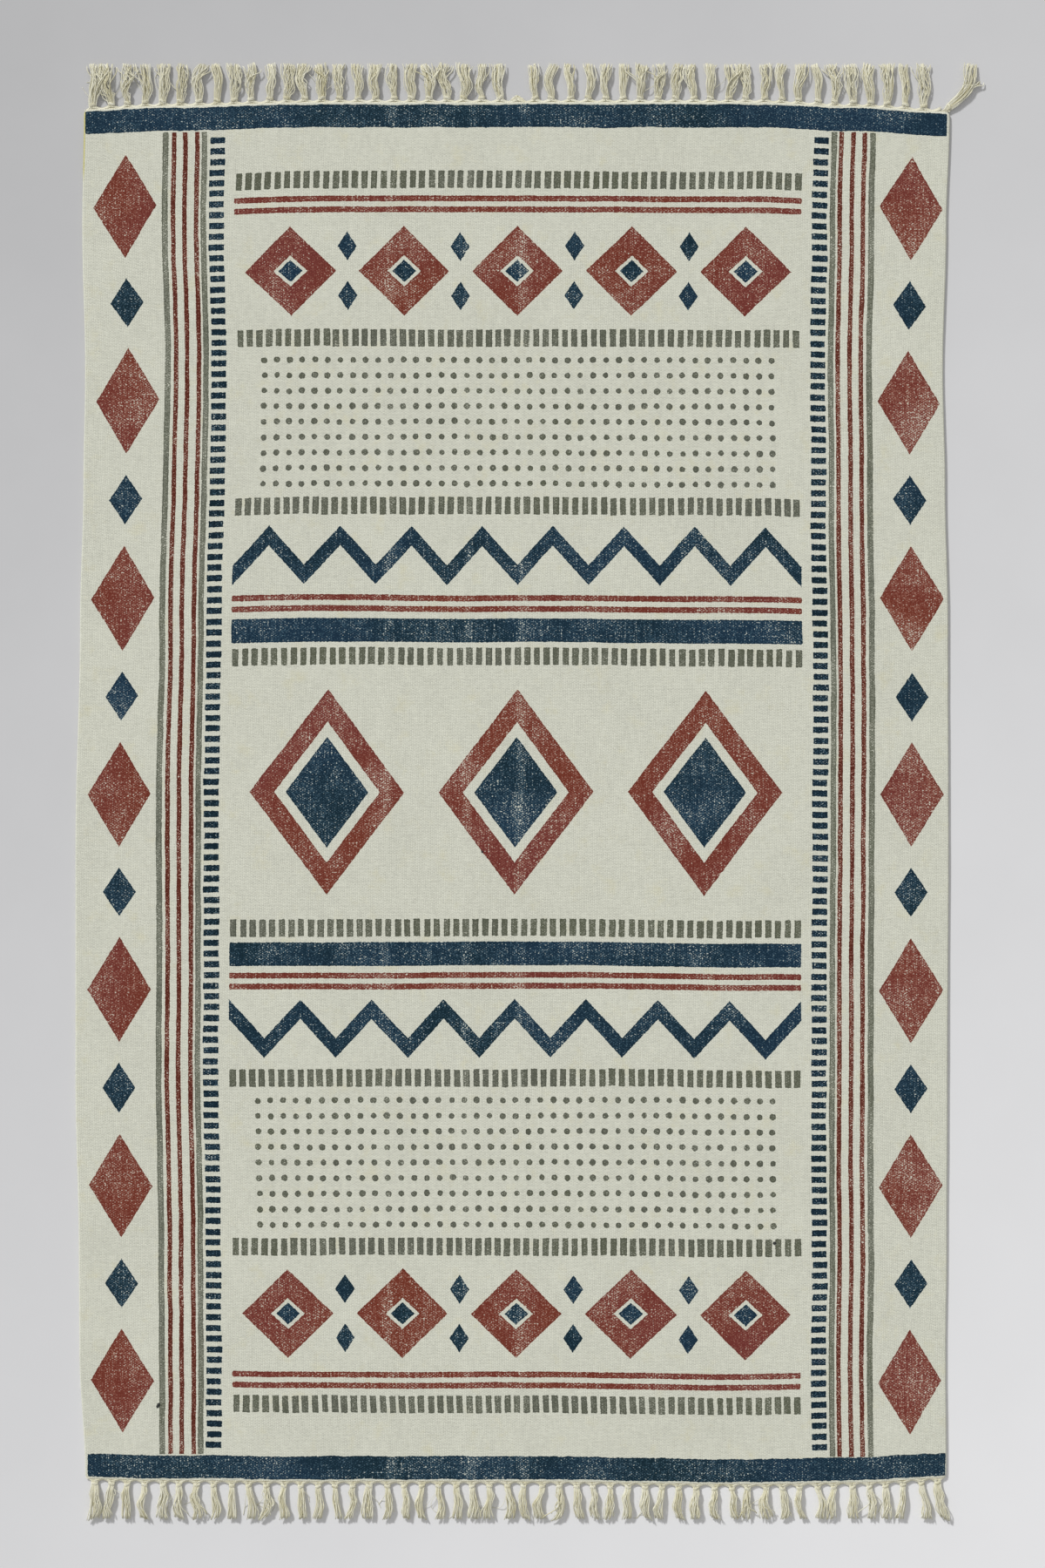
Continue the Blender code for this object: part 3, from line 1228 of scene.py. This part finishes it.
def web(yarns, end, index, settings, waviness, rng):
    """The yarns that hang in arcs along the cloth's edge, from one knot to the next."""
    facts = ENDS[end]
    start, stop = bunch_x(end, index), bunch_x(end, index + 1)
    for arc in range(WEB_ARCS):
        layer = arc / (WEB_ARCS - 1)
        depth = facts["knot_reach"] * (0.45 + 0.55 * layer) + rng.uniform(-0.0004, 0.0004)
        lowest = 0.0002 + 0.0020 * layer + rng.uniform(-0.0002, 0.0004)
        path = []
        for step in range(WEB_STEPS + 1):
            share = step / WEB_STEPS
            x = start + (stop - start) * share
            rise = abs(2 * share - 1) ** WEB_CURVE
            y = end_y(end, x) + facts["sign"] * (lowest + (depth - lowest) * rise)
            z = off_the_floor(x, end_y(end, x), waviness) + 0.0012 + 0.0012 * (1 - layer) + 0.0008 * rise
            path.append(Vector((x, y, z)))
        tone = min(max(rng.gauss(0.22, 0.16), 0.0), 1.0)
        yarns.add(path, [settings.yarn_radius * 0.95] * len(path), tone, sides=5)


def knot_wraps(yarns, centre, heading, rng, radius, fullness):
    """The turns that an overhand knot shows: a few yarns side by side, slanting over the bunch's neck."""
    turn = Quaternion((0, 0, 1), heading)
    slant = math.tan(math.radians(rng.uniform(22, 46))) * rng.choice((-1, 1))
    tone = rng.uniform(0.10, 0.45)
    for k in range(KNOT_WRAPS):
        from_middle = (k - 1) / 1.6
        middle = centre + turn @ Vector((0, from_middle * KNOT_SPACING, 0))
        bulge = math.sqrt(1 - from_middle * from_middle * 0.5)
        half_width = 0.0053 * fullness * bulge + rng.uniform(-0.0003, 0.0003)
        half_height = 0.0022 * bulge
        own_slant = slant + rng.uniform(-0.15, 0.15)
        loop = []
        for step in range(WRAP_STEPS):
            angle = 2 * math.pi * step / WRAP_STEPS
            across = half_width * math.cos(angle)
            along = across * own_slant * math.sin(angle) ** 2
            loop.append(middle + turn @ Vector((across, along, half_height * math.sin(angle))))
        loop_tone = min(max(tone + rng.gauss(0, 0.15), 0.0), 1.0)
        yarns.add(loop, [radius * rng.uniform(0.95, 1.15)] * WRAP_STEPS, loop_tone, sides=5, closed=True)


def bunch(yarns, end, index, settings, waviness, rng):
    """One knotted bunch of warp ends, from the cloth's edge to the cut tips."""
    facts = ENDS[end]
    sign = facts["sign"]
    left, right = end_corners(end)
    pitch = (right - left) / facts["bunches"]
    parted = index in facts["parted"]
    knot_x = bunch_x(end, index) + (PARTED["slid"] if parted else 0.0)
    knot_y = end_y(end, knot_x) + sign * facts["knot_reach"]
    lean = bunch_lean(end, index) + facts["drawn_aside"].get(index, 0.0)
    lean += PARTED["lean"] if parted else 0.0
    tangled = index in facts["tangled"]
    pulled_out = index in facts["pulled_out"]
    reach = facts["cut_line"] - knot_y
    count = settings.yarns + rng.choice((-2, -1, 0, 0, 1))
    sway = rng.uniform(-0.0058, 0.0058)
    bend = rng.uniform(0.0008, 0.0026) * rng.choice((-1, 1))
    bend_phase = rng.uniform(0, 2 * math.pi)
    arch = rng.uniform(0.0015, 0.0045)
    fullness = facts["fullness"] * rng.uniform(0.80, 1.20) * (1.12 if tangled else 1.0)
    frizz = facts["frizz"] * rng.uniform(0.6, 1.6) * (1.5 if tangled else 1.0)
    twist = rng.uniform(-1.1, 1.1)
    radius = settings.yarn_radius

    def middle_line(share):
        """How far the bunch's middle has gone across at a share of the way to the tips."""
        if parted:
            leant = lean * math.sin(math.pi / 2 * min(share / PARTED["leant_by"], 1.0))
            return leant + PARTED["curl"] * math.sin(2 * math.pi * share)
        straight = lean * max(share, 0.0) ** 1.4 + sway * math.sin(math.pi * smooth(share * 0.9) ** 0.8)
        return straight + bend * math.sin(2 * math.pi * share + bend_phase) * smooth(share * 3)

    heading = -math.atan2(middle_line(0.2), abs(reach) * 0.2) * sign
    if parted or index in facts["stout"]:
        count = settings.yarns + 6
        fullness = facts["fullness"] * 1.35
    if not pulled_out:
        knot_wraps(yarns, Vector((knot_x, knot_y, KNOT_HEIGHT)), heading, rng, radius, facts["fullness"])
    for strand in range(count):
        root_x = left + (index + (strand + 0.5) / count) * pitch
        beside = 2 * (strand + rng.uniform(0.1, 0.9)) / count - 1
        above = math.sqrt(max(1 - beside * beside, 0.0)) * rng.uniform(0.3, 1.0) * (1 if strand % 2 else -1)
        turn = twist + rng.uniform(-0.5, 0.5)
        wave = rng.uniform(0.0003, 0.0012) * frizz
        waves = rng.uniform(0.8, 2.1)
        wave_phase = rng.uniform(0, 2 * math.pi)
        tip = rng.uniform(-0.0016, 0.0012)
        splay = rng.gauss(0, 0.0014) * frizz
        stands_off = rng.random() < 0.16
        if stands_off:
            wave *= 2.2
            splay = rng.choice((-1, 1)) * rng.uniform(0.0025, 0.0060)
        crossing_over = 0.0
        if tangled and rng.random() < facts["loose_share"]:
            crossing_over = rng.choice((-1, 1)) * rng.uniform(0.20, 0.75) * pitch
        path = fan_path(end, root_x, knot_x, KNOT_HEIGHT + above * 0.0012, beside * 0.0030, waviness)
        if pulled_out:
            crest = MOUND["crest"] * (1 - 0.38 * abs(beside)) + rng.uniform(-0.0016, 0.0010)
            edge = end_y(end, knot_x)
            steps = MOUND["steps"]
            path = []
            for k in range(steps + 1):
                half_width = MOUND["foot"] - MOUND["narrowing"] * k / steps
                x = knot_x + beside * half_width + 0.0008 * math.sin(k * 2.2 + wave_phase)
                y = edge + sign * (crest * k / steps - 0.0012)
                path.append(Vector((x, y, 0.0042 - 0.0004 * k + 0.0006 * above)))
        for k in range(0 if pulled_out else BODY_STEPS + 1):
            share = k / BODY_STEPS
            half_width = eased(BODY, "share", "half_width", share) * fullness
            half_height = eased(BODY, "share", "half_height", share)
            spin = turn * share
            side = beside * math.cos(spin) - above * math.sin(spin)
            top = beside * math.sin(spin) + above * math.cos(spin)
            here, ahead = middle_line(share), middle_line(share + 0.02)
            square = Vector((abs(reach) * 0.02, -sign * (ahead - here))).normalized()
            across = side * half_width + splay * share**2
            across += wave * math.sin(2 * math.pi * waves * share + wave_phase) * smooth(share * 4)
            along = reach * share + sign * tip * share + across * square.y * sign
            over = smooth((share - 0.42) / 0.58)
            across = across * square.x + crossing_over * over
            along -= sign * abs(crossing_over) * 0.40 * over * over
            if parted and strand % 4 == 0:
                aside = smooth((share - 0.40) / 0.60)
                across += PARTED["aside"] * aside
                along -= reach * PARTED["short"] * aside
            low = radius + 0.0003
            humped = math.sin(math.pi * share)
            lift = (KNOT_HEIGHT - low) * (1 - smooth(share * 2.5)) + arch * humped
            lift += abs(crossing_over) * 0.12 * humped + facts["tip_lift"] * smooth(share)
            z = low + lift + half_height * (1 + top) * smooth(share * 2.5 + 0.2)
            path.append(Vector((knot_x + here + across, knot_y + along, z)))
        thickness = radius * rng.uniform(0.84, 1.18)
        radii = [thickness * (0.85 if k < FAN_STEPS else 1.0) for k in range(len(path))]
        radii[-1] *= 0.72
        tone = rng.gauss(0.52 - 0.34 * abs(beside), 0.22)
        yarns.add(path, radii, min(max(tone, 0.0), 1.0), sides=5)


def stray(yarns, end, settings, rng):
    """A fine single yarn that has come loose, wandering from one bunch over the next."""
    facts = ENDS[end]
    sign = facts["sign"]
    index = rng.choice([*range(facts["bunches"]), *facts["tangled"], *facts["tangled"]])
    x = bunch_x(end, index)
    y = end_y(end, x) + sign * rng.uniform(0.010, 0.020)
    heading = sign * math.pi / 2 + rng.uniform(-0.7, 0.7)
    curl = rng.uniform(-22, 22)
    swing = rng.uniform(-60, 60)
    length = rng.uniform(0.030, 0.062)
    steps = 16
    path = []
    for k in range(steps + 1):
        share = k / steps
        z = settings.yarn_radius * 0.6 + 0.0055 * math.sin(math.pi * min(share * 1.4, 1.0))
        path.append(Vector((x, y, z)))
        heading += (curl + swing * math.cos(5.0 * share)) * length / steps
        x += math.cos(heading) * length / steps
        y += math.sin(heading) * length / steps
        y = sign * min(sign * y, sign * facts["cut_line"])
    radius = settings.yarn_radius * rng.uniform(0.42, 0.62)
    yarns.add(path, [radius] * len(path), rng.uniform(0.0, 0.25), sides=5)


def header_cord(end, waviness, material):
    """The twined cord that holds the last pick, along the end of the cloth."""
    left, right = end_corners(end)
    inset, steps = HEADER_CORD["inset"], HEADER_CORD["steps"]
    path = []
    for k in range(steps + 1):
        x = left + inset + (right - left - 2 * inset) * k / steps
        y = end_y(end, x) - ENDS[end]["sign"] * 0.0006
        ripple = 0.0003 * math.sin(k * 2.1) + 0.0002 * math.sin(k * 5.3)
        z = off_the_floor(x, y, waviness) + CLOTH_THICKNESS * 0.62 + ripple
        path.append(Vector((x, y + ripple, z)))
    yarns = YarnMesh()
    yarns.add(path, [HEADER_CORD["radius"]] * len(path), HEADER_CORD["tone"], sides=8)
    return yarns.made(f"{end}_header_cord", material)


# ---------------------------------------------------------------- operators


class RUG_OT_cloth(bpy.types.Operator):
    """Makes the printed cloth"""

    bl_idname = "rug.cloth"
    bl_label = "Printed Cloth"

    def execute(self, context):
        settings = context.scene.dhurrie_cloth
        mesh = cloth_mesh(settings)
        mesh.materials.append(printed_cotton(settings))
        mesh.materials.append(back_cotton(settings))
        cloth = bpy.data.objects.new("dhurrie_cloth", mesh)
        context.scene.collection.objects.link(cloth)
        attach(cloth, "root")
        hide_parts("rug_cloth")
        return {"FINISHED"}


class RUG_OT_fringes(bpy.types.Operator):
    """Makes the knotted fringe at each end"""

    bl_idname = "rug.fringes"
    bl_label = "Knotted Fringes"

    def execute(self, context):
        settings = context.scene.dhurrie_fringe
        waviness = context.scene.dhurrie_cloth.waviness
        material = fringe_cotton(settings, "fringe_cotton", FRINGE_LAY)
        for end, facts in ENDS.items():
            rng = random.Random(facts["seed"])
            yarns = YarnMesh()
            for index in range(facts["bunches"]):
                bunch(yarns, end, index, settings, waviness, rng)
            for index in range(facts["bunches"] - 1):
                web(yarns, end, index, settings, waviness, rng)
            for _ in range(settings.strays):
                stray(yarns, end, settings, rng)
            fringe = yarns.made(f"{end}_fringe", material)
            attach(fringe, "root")
            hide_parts(f"fringe_{end}")
        return {"FINISHED"}


class RUG_OT_header_cords(bpy.types.Operator):
    """Makes the twined cord along each end of the cloth"""

    bl_idname = "rug.header_cords"
    bl_label = "Header Cords"

    def execute(self, context):
        material = fringe_cotton(context.scene.dhurrie_fringe, "header_cotton", HEADER_CORD["lay"])
        for end in ENDS:
            cord = header_cord(end, context.scene.dhurrie_cloth.waviness, material)
            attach(cord, "root")
        return {"FINISHED"}


class RUG_OT_declare(bpy.types.Operator):
    bl_idname = "rug.declare"
    bl_label = "Declare Sheet"

    def execute(self, context):
        return {"FINISHED"}


# The floor lies a hair under the rug. The camera stands a little aside of the rug's middle, with its lens
# and sensor in millimetres. The key light comes from the far left.
FLOOR = {"size": 60.0, "below": 0.0001}
CAMERA = {"across": 0.0168, "along": 0.0137, "lens": 72.0, "sensor": 36.0, "reach": 60.0}
KEY_COMES_FROM = (-0.55, 0.75, 0.52)


class RUG_OT_stage(bpy.types.Operator):
    """Makes the floor, the lights and the camera straight above the rug"""

    bl_idname = "rug.stage"
    bl_label = "Stage"

    def execute(self, context):
        settings = context.scene.dhurrie_stage
        scene = context.scene
        mesh = bpy.data.meshes.new("floor")
        half = FLOOR["size"] / 2
        square = ((-half, -half), (half, -half), (half, half), (-half, half))
        mesh.from_pydata([(x, y, -FLOOR["below"]) for x, y in square], [], [(0, 1, 2, 3)])
        floor = bpy.data.objects.new("floor", mesh)
        scene.collection.objects.link(floor)
        material = bpy.data.materials.new("pale_floor")
        material.use_nodes = True
        tree = material.node_tree
        shader = tree.nodes["Principled BSDF"]
        shader.inputs["Roughness"].default_value = 0.85
        shader.inputs["Specular IOR Level"].default_value = 0.2
        where = tree.nodes.new("ShaderNodeTexCoord")
        place = Value(tree, where.outputs["Object"])
        mottle, _ = clouds(place, 2.2, 4.0, 0.6)
        across, along, _ = split(place)
        tint = Vector(settings.floor)
        # Painted light: the floor is painted lighter towards the near right, where more light falls, and is
        # even far from the rug.
        painted_light_near_rug = eased_step((across * across + along * along).math("SQRT"), 5.5, 1.6)
        share = within(0.52 + (across * 0.185 - along * 0.231) * painted_light_near_rug + (mottle - 0.5) * 0.24)
        colour = blended(tree, share, opaque(tint * 0.80), opaque(tint * 1.34))
        feed(tree, shader.inputs["Base Color"], colour)
        mesh.materials.append(material)

        key = bpy.data.lights.new("key", "SUN")
        key.energy = settings.key
        key.angle = math.radians(7)
        lamp = bpy.data.objects.new("key", key)
        lamp.rotation_mode = "QUATERNION"
        lamp.rotation_quaternion = Vector(KEY_COMES_FROM).to_track_quat("Z", "Y")
        scene.collection.objects.link(lamp)

        world = bpy.data.worlds.new("studio")
        world.use_nodes = True
        world.node_tree.nodes["Background"].inputs["Color"].default_value = (1.0, 1.0, 1.0, 1.0)
        world.node_tree.nodes["Background"].inputs["Strength"].default_value = settings.fill
        scene.world = world
        scene.view_settings.view_transform = "Standard"

        camera_data = bpy.data.cameras.new("camera")
        camera_data.lens = CAMERA["lens"]
        camera_data.sensor_width = CAMERA["sensor"]
        camera_data.clip_end = CAMERA["reach"]
        camera = bpy.data.objects.new("camera", camera_data)
        camera.location = (CAMERA["across"], CAMERA["along"], settings.camera_height)
        scene.collection.objects.link(camera)
        scene.camera = camera
        return {"FINISHED"}


class RUG_PT_sidebar(bpy.types.Panel):
    """Lists the rug's pieces and their settings"""

    bl_idname = "RUG_PT_sidebar"
    bl_label = "Dhurrie Rug"
    bl_space_type = "VIEW_3D"
    bl_region_type = "UI"
    bl_category = "Dhurrie"

    def draw(self, context):
        for group in ("dhurrie_cloth", "dhurrie_fringe", "dhurrie_stage"):
            settings = getattr(context.scene, group)
            box = self.layout.box()
            for name in settings.bl_rna.properties.keys():
                if name not in ("name", "rna_type"):
                    box.prop(settings, name)
        for operator in OPERATORS:
            self.layout.operator(operator.bl_idname)


OPERATORS = (RUG_OT_cloth, RUG_OT_fringes, RUG_OT_header_cords, RUG_OT_declare, RUG_OT_stage)
CLASSES = (ClothSettings, FringeSettings, StageSettings, *OPERATORS, RUG_PT_sidebar)


def register():
    for made_class in CLASSES:
        bpy.utils.register_class(made_class)
    bpy.types.Scene.dhurrie_cloth = PointerProperty(type=ClothSettings)
    bpy.types.Scene.dhurrie_fringe = PointerProperty(type=FringeSettings)
    bpy.types.Scene.dhurrie_stage = PointerProperty(type=StageSettings)


def unregister():
    del bpy.types.Scene.dhurrie_stage
    del bpy.types.Scene.dhurrie_fringe
    del bpy.types.Scene.dhurrie_cloth
    for made_class in reversed(CLASSES):
        bpy.utils.unregister_class(made_class)


def main():
    register()
    bpy.ops.rug.cloth()
    bpy.ops.rug.fringes()
    bpy.ops.rug.header_cords()
    bpy.ops.rug.declare()
    bpy.ops.rug.stage()


if __name__ == "__main__":
    main()
